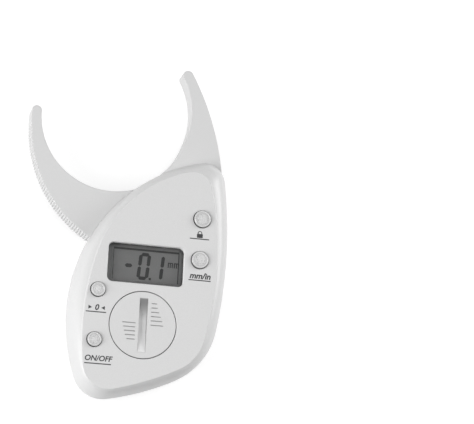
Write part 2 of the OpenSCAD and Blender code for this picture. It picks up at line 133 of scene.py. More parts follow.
def bowed_outline(corners, bows):
    """Arcs (centre x, centre y, radius, first angle, sweep) of corner discs joined by bowed sides."""
    middles = []
    for (ax, ay, ar), (bx, by, br), bow in zip(corners, corners[1:] + corners[:1], bows):
        apart = math.hypot(bx - ax, by - ay)
        ux, uy = (bx - ax) / apart, (by - ay) / apart
        p, q = bow - ar, bow - br
        along = (p * p - q * q + apart * apart) / (2 * apart)
        off = math.sqrt(p * p - along * along)
        middles.append((ax + ux * along - uy * off, ay + uy * along + ux * off))
    made = []
    for i, (cx, cy, r) in enumerate(corners):
        (bx, by), (mx, my) = middles[i - 1], middles[i]
        nx, ny, _ = corners[(i + 1) % len(corners)]
        first, turn, last = (
            math.degrees(math.atan2(y, x)) % 360
            for x, y in ((cx - bx, cy - by), (cx - mx, cy - my), (nx - mx, ny - my)))
        made += [(cx, cy, r, first, (turn - first) % 360), (mx, my, bows[i], turn, (last - turn) % 360)]
    return made


widest = bowed_outline(((20.96, 23.06, 8.46), (-17.42, -59.46, 12.42), (-0.9, -35.61, 29.81)),
    (69.7, 106.8, 204.1))
flat = bowed_outline(
    ((14.06, 17.05, 7.75), (-11.35, -11.94, 12.81), (-17.65, -59.05, 10.71), (2.7, -42.43, 19.18)),
    (54.5, 118.4, 135.7, 137.8))


def outline_point(arcs, turn, inset):
    cx, cy, r = next(a[:3] for a in arcs if (turn - a[3] + 1e-4) % 360 <= a[4] + 2e-4)
    return Vector((cx + (r - inset) * math.cos(math.radians(turn)),
                   cy + (r - inset) * math.sin(math.radians(turn)), 0))


def housing_ring(share, inset, z, count=480):
    """Outline of the housing between its flat face (share 0) and its widest line (share 1)."""
    turns = [360 * k / count for k in range(count)]
    up = Vector((0, 0, z))
    return [(1 - share) * outline_point(flat, t, inset) + share * outline_point(widest, t, inset) + up
        for t in turns]


def shoulder(z_face, z_wide, inset, steps, count=480, step=0.0):
    """Rings from the flat face, over a small bevelled step, round the shoulder to the widest line."""
    s0, c0 = math.sin(math.radians(25)), math.cos(math.radians(25))
    way = 1 if z_face > z_wide else -1
    rings = []
    if step:
        rings += [housing_ring(0, inset + out * step, z_face - way * down * step, count)
                  for out, down in ((0.3, 0), (0.12, 0.04), (0, 0.16), (-0.62, 0.92))]
    for k in range(steps + 1):
        t = math.radians(25 + 65 * k / steps)
        share, fade = (math.sin(t) - s0) / (1 - s0), 1 - (math.sin(t) - s0) / (1 - s0)
        z = z_face + (z_wide - z_face) * (c0 - math.cos(t)) / c0 - way * step * fade ** 2
        rings.append(housing_ring(share, inset - 0.8 * step * fade, z, count))
    return rings


def skin_rings(name, rings):
    """A closed solid over rings of equal count, with a flat face in the first and the last."""
    count = len(rings[0])
    faces = [tuple(range(count)), tuple(range((len(rings) - 1) * count, len(rings) * count))]
    for k in range(len(rings) - 1):
        faces += [(k * count + i, k * count + (i + 1) % count, (k + 1) * count + (i + 1) % count,
            (k + 1) * count + i) for i in range(count)]
    mesh = bpy.data.meshes.new(name)
    mesh.from_pydata([p for ring in rings for p in ring], [], faces)
    work = bmesh.new()
    work.from_mesh(mesh)
    bmesh.ops.recalc_face_normals(work, faces=work.faces)
    work.to_mesh(mesh)
    work.free()
    return placed(name, mesh)


def stacked(outline, levels):
    """Rings of an outline that takes a growth or an inset, at (growth or inset, height) levels."""
    return [[(x, y, z) for x, y in outline(grow)] for grow, z in levels]


def turned(name, centre, profile, count=96):
    """A body of revolution about a vertical axis, from (radius, height) pairs."""
    arms = [(math.cos(math.tau * k / count), math.sin(math.tau * k / count)) for k in range(count)]
    return skin_rings(name,
        [[(centre[0] + r * c, centre[1] + r * s, z) for c, s in arms] for r, z in profile])


def prism(name, outline, z0, z1):
    return skin_rings(name, [[(x, y, z) for x, y in outline] for z in (z0, z1)])


def drum(name, centre, r, z0, z1, count=64):
    return turned(name, centre, [(r, z0), (r, z1)], count)


def carve(blank, tools, work="DIFFERENCE"):
    """Cuts the tools out of the blank, joins them to it or keeps what is common to both."""
    for tool in tools:
        step = blank.modifiers.new("carve", "BOOLEAN")
        step.object, step.operation, step.solver = tool, work, "EXACT"
    bpy.context.view_layer.update()
    shape = bpy.data.meshes.new_from_object(blank.evaluated_get(bpy.context.evaluated_depsgraph_get()))
    blank.modifiers.clear()
    blank.data = shape
    for tool in tools:
        bpy.data.objects.remove(tool)
    return blank


def mouth(name, outline, z_deep, z_face, lip):
    """Cutter for a hole with a rounded mouth; outline(grow) is the hole's outline grown by grow."""
    way = 1 if z_face > z_deep else -1
    line = [(0, z_deep)]
    line += [(lip * (1 - math.cos(t)), z_face + way * (lip * (math.sin(t) - 1) + 0.004))
        for t in (math.pi / 12 * k for k in range(7))]
    line.append((lip, z_face + way))
    return skin_rings(name, stacked(outline, line))


def circle_outline(centre, r, count=72):
    return lambda grow: [(centre[0] + (r + grow) * math.cos(math.tau * k / count),
                          centre[1] + (r + grow) * math.sin(math.tau * k / count)) for k in range(count)]


def pivot_ray(angle, centre, radius, far=90.0):
    """Point where the ray from the jaw pivot at that angle leaves a disc."""
    u = Vector((math.cos(math.radians(angle)), math.sin(math.radians(angle))))
    b = u.dot(Vector(centre))
    reach = min(far, b + math.sqrt(b * b + radius * radius - Vector(centre).length_squared))
    return tuple(u * reach)


JAW_AIR = 0.2


def jaw_gaps():
    """Cutters for the two slots in the housing's side: the moving jaw's sweep and the fixed jaw."""
    low, high = JAW_BASE - JAW_AIR, JAW_TOP + JAW_AIR
    sweep = [(0, 0)] + [pivot_ray(84 + 166 * k / 90, (1.25, 42.57), 56.67) for k in range(91)]
    outer = [(-96.2 + math.sqrt(125.52 ** 2 - (y - 7.8) ** 2), y)
        for y in (26.29 + 18.7 * k / 20 for k in range(21))]
    inner = [(-23.6 + 36.11 * math.cos(a), 50.9 + 36.11 * math.sin(a))
        for a in (math.radians(-9.4 - 48.4 * k / 30) for k in range(31))]
    return [
        prism("sweep_gap", sweep, low, high),
        prism("root_gap", [(-4, 18.3)] + outer + inner, low, high),
    ]


def on_object(tree):
    """Coordinates that stay with the piece, in metres."""
    return add_node(tree, "ShaderNodeTexCoord").outputs["Object"]


def ramp(tree, value, start, end, top=1.0, **settings):
    """Rises from 0, where the value is start, to top, where it is end."""
    limits = {"Value": value, "From Min": start, "From Max": end, "To Max": top}
    return add_node(tree, "ShaderNodeMapRange", limits, **settings).outputs[0]


def blend(tree, share, first, second):
    """The first colour where share is 0, the second where it is 1."""
    return add_node(tree, "ShaderNodeMix", {0: share, 6: first, 7: second}, data_type="RGBA").outputs[2]


def effect(name, inputs, outputs):
    """A shader node group with named sockets; returns it with its input and output nodes."""
    group = bpy.data.node_groups.new(name, "ShaderNodeTree")
    for label, kind, value in inputs:
        group.interface.new_socket(
            label, in_out="INPUT", socket_type="NodeSocket" + kind).default_value = value
    for label, kind in outputs:
        group.interface.new_socket(label, in_out="OUTPUT", socket_type="NodeSocket" + kind)
    return group, group.nodes.new("NodeGroupInput").outputs, group.nodes.new("NodeGroupOutput").inputs


grain, given, gives = effect(
    "moulding_grain",
    (("Colour", "Color", (0.7, 0.7, 0.7, 1)), ("Mottle", "Float", 0.04), ("Flake", "Float", 0.04),
    ("Grain Scale", "Float", 2600), ("Roughness", "Float", 0.35)),
    (("Colour", "Color"), ("Roughness", "Float"), ("Height", "Float")),
)
where = on_object(grain)
cloud = add_node(grain, "ShaderNodeTexNoise", {"Vector": where, "Scale": 38, "Detail": 3})
fine = add_node(grain, "ShaderNodeTexNoise", {"Vector": where, "Scale": given["Grain Scale"], "Detail": 2})
speck = add_node(grain, "ShaderNodeTexVoronoi", {"Vector": where, "Scale": 5200})
speck_tone = add_node(grain, "ShaderNodeSeparateColor", {"Color": speck.outputs["Color"]})
cloud_part = maths(grain, "MULTIPLY_ADD", cloud.outputs[0], given["Mottle"], 1.0)
cloud_mid = maths(grain, "MULTIPLY_ADD", given["Mottle"], -0.5, cloud_part)
speck_part = maths(grain, "MULTIPLY_ADD", speck_tone.outputs[0], given["Flake"], cloud_mid)
speck_mid = maths(grain, "MULTIPLY_ADD", given["Flake"], -0.5, speck_part)
toned = add_node(grain, "ShaderNodeVectorMath", {0: given["Colour"], "Scale": speck_mid}, operation="SCALE")
rough = maths(grain, "MULTIPLY_ADD", cloud.outputs[0], 0.12, given["Roughness"])
grain.links.new(toned.outputs[0], gives["Colour"])
grain.links.new(rough, gives["Roughness"])
grain.links.new(fine.outputs[0], gives["Height"])

# Edge and nook toning for most finishes. Convex edges turn lighter, as rubbed wear and as a painted
# highlight. Hollows, grooves and gaps turn darker, as dust and as painted shade. Flat faces are left out.
wear_and_light, given, gives = effect(
    "edge_wear_and_painted_light",
    (("Colour", "Color", (0.7, 0.7, 0.7, 1)), ("Rubbed Colour", "Color", (0.9, 0.9, 0.9, 1)),
    ("Dust Colour", "Color", (0.4, 0.39, 0.37, 1)), ("Rubbed And Highlight", "Float", 0.4), ("Dust And Shade", "Float", 0.4)),
    (("Colour", "Color"), ("Edge", "Float")),
)
surface = add_node(wear_and_light, "ShaderNodeNewGeometry")
point = surface.outputs["Pointiness"]
facing = add_node(wear_and_light, "ShaderNodeSeparateXYZ", {0: surface.outputs["True Normal"]})
tilt = maths(wear_and_light, "ABSOLUTE", facing.outputs["Z"])
curved = maths(wear_and_light, "LESS_THAN", tilt, 0.9995)
patch = add_node(wear_and_light, "ShaderNodeTexNoise", {"Vector": on_object(wear_and_light), "Scale": 420, "Detail": 4})
edge = ramp(wear_and_light, point, 0.515, 0.6, given["Rubbed And Highlight"])
curved_patch = maths(wear_and_light, "MULTIPLY", patch.outputs[0], curved)
edge_wear_and_highlight = maths(wear_and_light, "MULTIPLY", edge, curved_patch)
nook = ramp(wear_and_light, point, 0.485, 0.4, given["Dust And Shade"])
nook_dust_and_shade = maths(wear_and_light, "MULTIPLY", nook, curved_patch)
edge_toned_wear_and_highlight = blend(wear_and_light, edge_wear_and_highlight, given["Colour"], given["Rubbed Colour"])
nook_toned_dust_and_shade = blend(wear_and_light, nook_dust_and_shade, edge_toned_wear_and_highlight, given["Dust Colour"])
wear_and_light.links.new(nook_toned_dust_and_shade, gives["Colour"])
wear_and_light.links.new(edge_wear_and_highlight, gives["Edge"])


def grained(name, colour, grain_values, wear_and_light_values, bright, dark, shader_values):
    """A finish with the grain and the edge and nook toning laid on, as wear, dust, painted highlight and
    painted shade; returns its tree, shader, grain and itself.
    """
    made = bpy.data.materials.new(name)
    made.use_nodes = True
    tree = made.node_tree
    shader = tree.nodes["Principled BSDF"]
    for socket, value in shader_values.items():
        shader.inputs[socket].default_value = value
    body = add_node(tree, "ShaderNodeGroup", {"Colour": (*colour, 1), **grain_values}, node_tree=grain)
    tones = {"Rubbed Colour": (*[min(0.95, c * bright) for c in colour], 1),
             "Dust Colour": (*[c * dark for c in colour], 1)}
    used = add_node(tree, "ShaderNodeGroup", {**wear_and_light_values, **tones}, node_tree=wear_and_light)
    tree.links.new(body.outputs["Colour"], used.inputs["Colour"])
    tree.links.new(used.outputs["Colour"], shader.inputs["Base Color"])
    tree.links.new(body.outputs["Roughness"], shader.inputs["Roughness"])
    return tree, shader, body, made


def moulded(name, colour, roughness, mottle=0.04, flake=0.03, scale=2600, relief=0.00002, rubbed_and_highlight=0.35,
        dust_and_shade=0.3, coat=0.0):
    """A moulded plastic: clouded colour, fine flake and grain, edges rubbed bright with a painted
    highlight, nooks darkened with dust and painted shade.
    """
    tree, shader, body, made = grained(
        name, colour, {"Mottle": mottle, "Flake": flake, "Grain Scale": scale, "Roughness": roughness},
        {"Rubbed And Highlight": rubbed_and_highlight, "Dust And Shade": dust_and_shade}, 1.25, 0.45,
        {"IOR": 1.49, "Coat Weight": coat, "Coat Roughness": 0.2})
    bump = add_node(tree, "ShaderNodeBump",
        {"Height": body.outputs["Height"], "Strength": 0.5, "Distance": relief})
    tree.links.new(bump.outputs[0], shader.inputs["Normal"])
    return made


def opened(finish):
    """A finish's tree, its shader and the colour that feeds it, for one more effect over them."""
    shader = finish.node_tree.nodes["Principled BSDF"]
    return finish.node_tree, shader, shader.inputs["Base Color"].links[0].from_socket


def fit(piece, body, finish, slot, *nodes, sharp=32):
    """Sets a piece made in millimetres into the frame, smooths it, and ties it to its body."""
    work = bmesh.new()
    work.from_mesh(piece.data)
    bmesh.ops.remove_doubles(work, verts=work.verts, dist=0.0005)
    bmesh.ops.dissolve_degenerate(work, edges=work.edges, dist=0.0005)
    bmesh.ops.transform(work, matrix=Matrix.Scale(0.001, 4), verts=work.verts)
    work.to_mesh(piece.data)
    work.free()
    piece.data.materials.clear()
    piece.data.materials.append(finish)
    piece.data.shade_smooth()
    piece.data.set_sharp_from_angle(angle=math.radians(sharp))
    even = piece.modifiers.new("even_shading", "WEIGHTED_NORMAL")
    even.keep_sharp = True
    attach(piece, body)
    if nodes:
        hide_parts(*nodes)
    return piece


shell_finish = moulded("silver_white_plastic", (0.72, 0.72, 0.72), 0.3, mottle=0.03, flake=0.05, coat=0.15)


def housing_half(name, z_face, inner_face, bosses, screws_at):
    """One half of the housing: face, shoulder, a fine groove at the parting line, and the hollow."""
    toward = 1 if z_face > PARTING else -1
    rings = shoulder(z_face, PARTING, 0, 22, step=0.6)[:-1]
    rings += [housing_ring(1, 0, PARTING + toward * 0.2), housing_ring(1, 0.06, PARTING + toward * 0.08),
        housing_ring(1, 0.3, PARTING + toward * 0.05), housing_ring(1, 0.3, PARTING)]
    rings += shoulder(inner_face, PARTING, WALL, 10)[::-1]
    half = skin_rings(name, rings)
    limit = skin_rings("limit", shoulder(z_face, PARTING, 0.6, 8, count=180))
    first, *others = bosses
    posts = carve(first, others, "UNION")
    carve(half, [carve(posts, [limit], "INTERSECT")], "UNION")
    return carve(half, screws_at + jaw_gaps())


rear = housing_half(
    "rear_housing", 0, WALL,
    [drum("boss", p, r, WALL - 0.5, PARTING) for p, r in zip(CASE_SCREWS[1:], (2.75, 2.75, 3, 2.75))]
    + [drum("boss", CASE_SCREWS[0], 3, WALL - 0.5, JAW_BASE),
    drum("boss", (0, 0), 5, WALL - 0.5, JAW_BASE)],
    [mouth("head_hole", circle_outline(p, 2.05), 2.2, 0, 0.35) for p in CASE_SCREWS]
    + [drum("shank_hole", p, 1.15, 1, PARTING + 1, 32) for p in CASE_SCREWS]
    + [drum("pin_hole", (0, 0), 2, 1, JAW_BASE + 1, 48)],
)
fit(rear, "housing", shell_finish, "shell", "rear_shell")

# Front half of the housing: the same plastic, with the display opening, four button holes and
# the round battery opening moulded in. It carries the circuit board on bosses inside.
BUTTONS = {"hold": (18.2, 4.6, 3.6), "units": (18, -12.9, 3.6), "zero": (-23.9, -29, 3),
    "power": (-24.2, -49.8, 3)}
COVER = (-4.5, -42.2)
BOARD_SCREWS = ((15.5, 12.5), (16.5, -30), (-12, -61))


def rounded_box(centre, width, height, corner, grow, count=10):
    made = []
    for quarter, (sx, sy) in enumerate(((1, 1), (-1, 1), (-1, -1), (1, -1))):
        cx, cy = centre[0] + sx * (width / 2 - corner), centre[1] + sy * (height / 2 - corner)
        for k in range(count + 1):
            a = math.radians(90 * (quarter + k / count))
            made.append((cx + (corner + grow) * math.cos(a), cy + (corner + grow) * math.sin(a)))
    return made


front = housing_half(
    "front_housing", BODY_DEPTH, BODY_DEPTH - WALL,
    [drum("boss", p, r, PARTING, BODY_DEPTH - WALL + 0.5)
    for p, r in zip(CASE_SCREWS[1:], (2.6, 2.6, 3, 2.1))]
    + [drum("boss", CASE_SCREWS[0], 3, JAW_TOP, BODY_DEPTH - WALL + 0.5),
    drum("boss", (0, 0), 3.6, 15.8, BODY_DEPTH - WALL + 0.5)]
    + [drum("boss", p, 2.2, 15.4, BODY_DEPTH - WALL + 0.5) for p in BOARD_SCREWS]
    + [drum("ledge", COVER, 16, 19, BODY_DEPTH - WALL + 0.5, 128)],
    [drum("pilot", p, 0.8, PARTING - 1, BODY_DEPTH - 4, 32) for p in CASE_SCREWS]
    + [drum("pilot", p, 0.6, 14, BODY_DEPTH - 3.4, 32) for p in BOARD_SCREWS]
    + [drum("pin_hole", (0, 0), 2, 14, BODY_DEPTH - 3, 48)]
    + [mouth("display_opening", lambda grow: rounded_box(WINDOW, *WINDOW_SIZE, 2.3, grow),
    BODY_DEPTH - 3, BODY_DEPTH, 0.4)]
    + [mouth("button_hole", circle_outline(b, b[2] + 0.15), BODY_DEPTH - 3, BODY_DEPTH, 0.3)
    for b in BUTTONS.values()]
    + [mouth("cover_seat", circle_outline(COVER, 14.15, 160), BODY_DEPTH - 1.8, BODY_DEPTH, 0.2),
    drum("cover_hole", COVER, 12.9, BODY_DEPTH - 5, BODY_DEPTH, 128)],
)
fit(front, "housing", shell_finish, "shell", "front_shell")

# Case screws: five pan-head self-tapping screws of bright steel with a cross recess, driven
# from the rear into the bosses of the front half. Their heads sit below the rear face.
def metal(name, colour, roughness, brush=0.0, dust_and_shade=0.5):
    """Bare or plated metal with fine brushing, edges lightened as rubbed wear and painted highlight, and
    nooks darkened with dust and painted shade.
    """
    tree, shader, _, made = grained(
        name, colour, {"Mottle": 0.15, "Flake": 0.06, "Grain Scale": 1800, "Roughness": roughness},
        {"Rubbed And Highlight": 0.6, "Dust And Shade": dust_and_shade}, 1.3, 0.3, {"Metallic": 1})
    along = add_node(tree, "ShaderNodeMapping",
        {"Vector": on_object(tree), "Scale": (300, 300 + brush * 6000, 300)})
    lines = add_node(tree, "ShaderNodeTexNoise", {"Vector": along.outputs[0], "Scale": 3, "Detail": 2})
    bump = add_node(tree, "ShaderNodeBump",
        {"Height": lines.outputs[0], "Strength": 0.3, "Distance": 0.00001})
    tree.links.new(bump.outputs[0], shader.inputs["Normal"])
    return made


def bar(name, middle, length, width, angle, z0, z1):
    c, s = math.cos(math.radians(angle)), math.sin(math.radians(angle))
    corners = [(x * length / 2, y * width / 2) for x, y in ((-1, -1), (1, -1), (1, 1), (-1, 1))]
    return prism(name, [(middle[0] + x * c - y * s, middle[1] + x * s + y * c) for x, y in corners], z0, z1)


steel = metal("bright_steel", (0.5, 0.5, 0.51), 0.28, brush=0.3)
for screw_name, (x, y) in zip(("top", "flank", "brow", "hip", "heel"), CASE_SCREWS):
    thread = [(0.62 + 0.2 * (k % 2), 2.5 + 0.3 * k) for k in range(47)]
    screw = turned("screw_" + screw_name, (x, y),
        [(0.02, 0.84), (0.9, 0.86), (1.45, 0.95), (1.7, 1.1), (1.83, 1.3), (1.85, 1.5), (1.85, 2.2),
        (0.8, 2.2)] + thread + [(0.2, 16.9)], 48)
    carve(screw, [bar("cross", (x, y), 2.3, 0.46, turn, 0.5, 1.75) for turn in (38, 128)])
    fit(screw, "housing", steel, "steel", "case_screw_" + screw_name)


def dress(finish, *nodes):
    """Gives CAD nodes that keep their own shape a finish."""
    for node in nodes:
        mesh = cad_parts[node].data
        mesh.materials.clear()
        mesh.materials.append(finish)


# Fixed jaw: a crescent moulded in light grey plastic, a plain plate in front and open cells
# between ribs behind. One case screw holds it, and its hub plate lies round the pivot pin.
# Its strong nook darkening is dust and painted shade in the thumb grooves and the cells behind the plate.
jaw_finish = moulded("light_grey_plastic", (0.7, 0.7, 0.7), 0.42, mottle=0.03, flake=0.03, relief=0.00003,
    rubbed_and_highlight=0.15, dust_and_shade=0.8)
PLATE_BACK, RIM = 12.1, 1.3
CLOSED_EDGE, CLOSED_RADIUS = (24.945, 43.37), 30.4


def on_arc(centre, radius, first, last, count):
    turns = [math.radians(first + (last - first) * k / max(1, count)) for k in range(count + 1)]
    return [(centre[0] + radius * math.cos(t), centre[1] + radius * math.sin(t)) for t in turns]


def bearing(centre, point):
    return math.degrees(math.atan2(point[1] - centre[1], point[0] - centre[0]))


def crossing(a, ra, b, rb):
    """The lower of the two points where two circles cross."""
    apart = math.dist(a, b)
    along = (ra * ra - rb * rb + apart * apart) / (2 * apart)
    off = math.sqrt(ra * ra - along * along)
    ux, uy = (b[0] - a[0]) / apart, (b[1] - a[1]) / apart
    return min(((a[0] + ux * along - side * uy * off, a[1] + uy * along + side * ux * off)
        for side in (-1, 1)), key=lambda p: p[1])


def jaw_levels(outline):
    """Rings of a jaw from its rear edge to its front plate, with rounded rims."""
    levels = [(0.18, JAW_BASE), (0.05, JAW_BASE + 0.05), (0, JAW_BASE + 0.18), (0, JAW_TOP - 0.45)]
    levels += [(0.45 * (1 - math.cos(t)), JAW_TOP - 0.45 * (1 - math.sin(t)))
        for t in (math.pi / 10 * k for k in range(1, 6))]
    return stacked(outline, levels)


def rib(line, width, low=JAW_BASE):
    """A rib along a line of points, its rear edge rounded off, a little thicker at the plate."""
    rings = []
    for half, z in ((width / 2 - 0.2, low), (width / 2 - 0.06, low + 0.08), (width / 2, low + 0.25),
            (width / 2 + 0.08, PLATE_BACK + 0.3)):
        sides = ([], [])
        for k, (x, y) in enumerate(line):
            (ax, ay), (bx, by) = line[max(0, k - 1)], line[min(len(line) - 1, k + 1)]
            long = math.dist((ax, ay), (bx, by))
            ox, oy = (ay - by) / long * half, (bx - ax) / long * half
            sides[0].append((x + ox, y + oy, z))
            sides[1].append((x - ox, y - oy, z))
        rings.append(sides[0] + sides[1][::-1])
    return skin_rings("rib", rings)


def cells(outline, keep_out, ribs):
    """Cutter for a jaw's cells: its outline less the rim, flared at the rear, less the ribs."""
    levels = [(RIM - 0.22, 4), (RIM - 0.22, JAW_BASE), (RIM - 0.06, JAW_BASE + 0.08)]
    levels += [(RIM, JAW_BASE + 0.25), (RIM, PLATE_BACK)]
    return carve(skin_rings("cells", stacked(outline, levels)), keep_out + ribs)


FIXED_TIP, FIXED_INNER, FIXED_OUTER = (10.85, 69.1), (-19.5, 51.7), (-90, 11.2)
FIXED_TIP_R = 2.4
FIXED_LOWER, LOWER_RADIUS = (-23.6, 50.9), 36.2


def fixed_outline(inset):
    """The fixed jaw's outline, inset all round; its inner edge is two arcs that meet at a knee."""
    inner, outer = (math.dist(FIXED_TIP, FIXED_INNER) - FIXED_TIP_R + inset,
                    math.dist(FIXED_TIP, FIXED_OUTER) + FIXED_TIP_R - inset)
    over, under = bearing(FIXED_OUTER, FIXED_TIP), bearing(FIXED_INNER, FIXED_TIP)
    knee = crossing(FIXED_INNER, inner, FIXED_LOWER, LOWER_RADIUS + inset)
    turn = crossing(FIXED_LOWER, LOWER_RADIUS + inset, CLOSED_EDGE, CLOSED_RADIUS - inset)
    line = on_arc(FIXED_OUTER, outer, 7.43, over, 70)
    line += on_arc(FIXED_TIP, FIXED_TIP_R - inset, over + 8, under + 172, 24)
    line += on_arc(FIXED_INNER, inner, under, bearing(FIXED_INNER, knee), 50)
    line += on_arc(FIXED_LOWER, LOWER_RADIUS + inset, bearing(FIXED_LOWER, knee),
        bearing(FIXED_LOWER, turn), 30)[1:]
    line += on_arc(CLOSED_EDGE, CLOSED_RADIUS - inset, bearing(CLOSED_EDGE, turn) % 360 + 0.5, 239, 12)
    return line + [(25.9, 15.8), (26.3, 20), (26.35, 25.9)]


fixed = skin_rings("fixed_jaw_crescent", jaw_levels(fixed_outline))
beyond = [prism("beyond", [(-60, y0), (60, y0), (60, y1), (-60, y1)], 3, 14)
          for y0, y1 in ((0, 26.5), (65.2, 90))]
carve(fixed, [cells(fixed_outline, beyond, [
    rib([(18.4, 57.6), (16.6, 26)], 1), rib([(4, 36.9), (30, 36.9)], 1), rib([(8, 49.7), (17.9, 49.7)], 1),
    rib([(8, 59.2), (24, 58.4)], 1, JAW_BASE + 2.5)])])
work = bmesh.new()
for (x, y), r in (((0, 0), 7.6), (CASE_SCREWS[0], 4), ((15, 8), 5)):
    for px, py in on_arc((x, y), r, 0, 354, 59):
        work.verts.new((px, py, JAW_BASE))
        work.verts.new((px, py, JAW_BASE + 2))
bmesh.ops.convex_hull(work, input=work.verts)
plate_mesh = bpy.data.meshes.new("hub_plate")
work.to_mesh(plate_mesh)
work.free()
plate = placed("hub_plate", plate_mesh)
room_for_it = carve(drum("near_pivot", (0, 0), 17.3, 4, 9, 96), [
    prism("root_side", [(0, 0)] + on_arc((0, 0), 40, -40, 49, 12), 4.1, 8.9),
    drum("inside_closed_edge", CLOSED_EDGE, CLOSED_RADIUS, 4.2, 8.8, 160)], "UNION")
carve(plate, [room_for_it], "INTERSECT")
carve(fixed, [plate, drum("boss", CASE_SCREWS[0], 3.2, JAW_BASE, JAW_TOP)], "UNION")
carve(fixed, [drum("pin_hole", (0, 0), 2, 4, 9), drum("screw_hole", CASE_SCREWS[0], 1.15, 4, 15, 32),
    drum("tip_hole", FIXED_TIP, 0.85, 4, 10.5, 32), drum("hook_hole", (6.3, 0), 0.6, 4, 9, 24)])
fit(fixed, "housing", jaw_finish, "jaw", "fixed_jaw")

# Moving jaw: the fixed one's partner in the same plastic, on a hub that swings on the pin. The
# wall behind its front plate has a row of fine grooves for the thumb that closes it.
MOVING_TIP, MOVING_INNER, MOVING_OUTER = (-52.96, 46.79), (-20.03, 45.85), (1.25, 42.57)
MOVING_TIP_R = 2.15
GROOVE_R, GROOVE_OUT, GROOVE_PITCH = 0.46, 0.1, 57 / 45


def moving_outline(inset, grooved=True):
    """The moving jaw's outline, inset all round, with thumb grooves along its outer edge."""
    inner, outer = (math.dist(MOVING_TIP, MOVING_INNER) - MOVING_TIP_R + inset,
                    math.dist(MOVING_TIP, MOVING_OUTER) + MOVING_TIP_R - inset)
    over, under = bearing(MOVING_OUTER, MOVING_TIP), bearing(MOVING_INNER, MOVING_TIP)
    start = pivot_ray(250, MOVING_OUTER, outer)
    line = [start]
    for turn in ([262 - k for k in range(22)] + [240 - GROOVE_PITCH / 12 * k for k in range(12 * 46)]
                 + [181 - k for k in range(4)] + [over]):
        off = ((turn - 182 + GROOVE_PITCH / 2) % GROOVE_PITCH - GROOVE_PITCH / 2) * math.pi / 180 * outer
        cut = grooved and abs(off) < 0.448 and 181.5 < turn < 239.5
        notch = math.sqrt(GROOVE_R ** 2 - off * off) - GROOVE_OUT if cut else 0
        line += on_arc(MOVING_OUTER, outer - notch, turn, turn, 0)
    line += on_arc(MOVING_TIP, MOVING_TIP_R - inset, over - 8, under - 172, 24)
    u = Vector((math.cos(math.radians(104)), math.sin(math.radians(104))))
    along = u.dot(Vector(MOVING_INNER))
    end = u * (along - math.sqrt(along ** 2 + inner ** 2 - Vector(MOVING_INNER).length_squared))
    line += on_arc(MOVING_INNER, inner, under, bearing(MOVING_INNER, end) % 360, 90)
    return line + on_arc((0, 0), 12.4, 104, -110, 60)


moving = skin_rings("moving_jaw_crescent", jaw_levels(moving_outline))
carve(moving, [cells(lambda inset: moving_outline(inset, False),
    [drum("hub_side", (0, 0), 19.1, 3, 14, 96)], [
    rib(on_arc((-20.2, 38.7), 33.4, 150, 300, 90), 1), rib([(-27, 18), (-34.2, -4)], 1),
    rib([(-40, 26), (-49.2, 7)], 1), rib([(-58, 42.2), (-46, 42.4)], 1.5),
    turned("post", (-52.4, 36.8),
           [(1, JAW_BASE), (1.2, JAW_BASE + 0.08), (1.25, JAW_BASE + 0.25), (1.25, 13)], 32)])])
carve(moving, [drum("under_hub", (0, 0), 17.8, 4, 7.8, 96), drum("hub_relief", (0, 0), 12.6, 13.3, 15, 96),
    drum("bore", (0, 0), 2.05, 4, 15),
    skin_rings("spring_pocket", stacked(
        lambda r: on_arc((0, 0), r, 0, 354, 59), ((7.99, 6.8), (8, 12.2))))])
fit(moving, "jaw", jaw_finish, "jaw", "moving_jaw")

# Pivot: a ground steel pin held in both halves, an acetal washer and spacer that keep the jaw
# clear of its neighbours, and a wire spring that opens the jaws, hooked into both of them.
dress(metal("ground_pin_steel", (0.6, 0.6, 0.61), 0.2, brush=0.1), "pivot_pin", "return_spring")
dress(moulded("natural_acetal", (0.78, 0.76, 0.68), 0.4, flake=0.0, dust_and_shade=0.2), "pivot_washer", "hub_spacer")

# Encoder: a copper-clad ring on the moving jaw and a facing ring on the board. The electronics
# read the jaw's angle from the radial pads of the two.
def pad_ring(name, pads):
    """Plated radial pads on a ring, with the board colour between them."""
    made = metal(name, (0.78, 0.52, 0.28), 0.3)
    tree, shader, base = opened(made)
    axes = add_node(tree, "ShaderNodeSeparateXYZ", {0: on_object(tree)})
    angle = maths(tree, "ARCTAN2", axes.outputs["Y"], axes.outputs["X"])
    pad = ramp(tree, maths(tree, "SINE", maths(tree, "MULTIPLY", angle, pads)), -0.1, 0.1)
    tree.links.new(blend(tree, pad, (0.08, 0.2, 0.1, 1), base), shader.inputs["Base Color"])
    tree.links.new(pad, shader.inputs["Metallic"])
    return made


dress(pad_ring("rotor_pads", 24), "encoder_rotor")
dress(pad_ring("stator_pads", 96), "encoder_stator")

# Circuit board: green glass-epoxy board on three screws, with an epoxy blob over the controller
# and a tact switch with a small black plunger under each button.
def circuit_green():
    made = moulded("green_solder_mask", (0.05, 0.2, 0.09), 0.3, flake=0.02)
    tree, shader, base = opened(made)
    where = on_object(tree)
    tracks = add_node(tree, "ShaderNodeTexBrick",
        {"Vector": where, "Scale": 320, "Mortar Size": 0.06, "Brick Width": 2.3, "Row Height": 0.4})
    lit = blend(tree, tracks.outputs["Fac"], base, (0.12, 0.36, 0.15, 1))
    tree.links.new(lit, shader.inputs["Base Color"])
    return made


dress(circuit_green(), "circuit_board")
dress(moulded("black_epoxy", (0.02, 0.02, 0.022), 0.35, flake=0.0), "controller_chip")
dress(metal("plated_switch_can", (0.62, 0.62, 0.6), 0.35), *["switch_" + b for b in BUTTONS])
dress(moulded("black_nylon", (0.03, 0.03, 0.03), 0.5, flake=0.0), *["plunger_" + b for b in BUTTONS],
    "lcd_frame", "battery_holder")
dress(steel, "board_screw_top", "board_screw_hip", "board_screw_heel")

